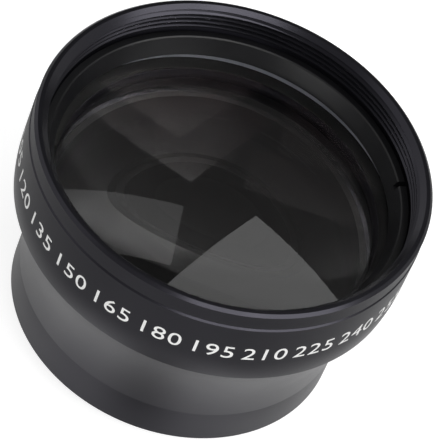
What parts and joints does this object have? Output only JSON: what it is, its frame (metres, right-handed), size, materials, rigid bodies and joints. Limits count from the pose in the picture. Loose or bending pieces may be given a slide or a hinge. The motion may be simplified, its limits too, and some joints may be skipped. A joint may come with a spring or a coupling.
{
  "type": "teleconverter lens",
  "caption": "Round screw-in teleconverter lens with a wide front ring, engraved band, bell-shaped barrel, coated glasses and threads at both ends.",
  "frame": {"origin": "centre of the rear shoulder, the flat face that meets the camera lens, on the optical axis", "axes": "+Z along the optical axis towards the subject, out of the front glass; -Y towards the side that the picture shows nearest"},
  "size_m": [0.049, 0.049, 0.0321],
  "materials": {
    "black_anodised": "satin black anodised",
    "matt_black": "matt black anodised",
    "washer": "matt",
    "brass_shim": "bright",
    "front_glass": "polished and coated",
    "inner_glass": "polished and coated"
  },
  "bodies": {
    "root": {"front_ring": "black_anodised", "front_housing": "black_anodised", "front_retaining_ring": "matt_black", "front_gasket": "washer", "seat_gasket": "washer", "crown_element": "front_glass", "flint_element": "inner_glass", "group_spacer": "matt_black", "third_gasket": "washer", "third_element": "inner_glass", "barrel_shell": "black_anodised", "light_baffle": "matt_black", "rear_mount_ring": "black_anodised", "focus_shim": "brass_shim", "rear_cell": "matt_black", "rear_element": "inner_glass", "rear_gasket": "washer", "rear_retaining_ring": "matt_black"}
  },
  "joints": []
}
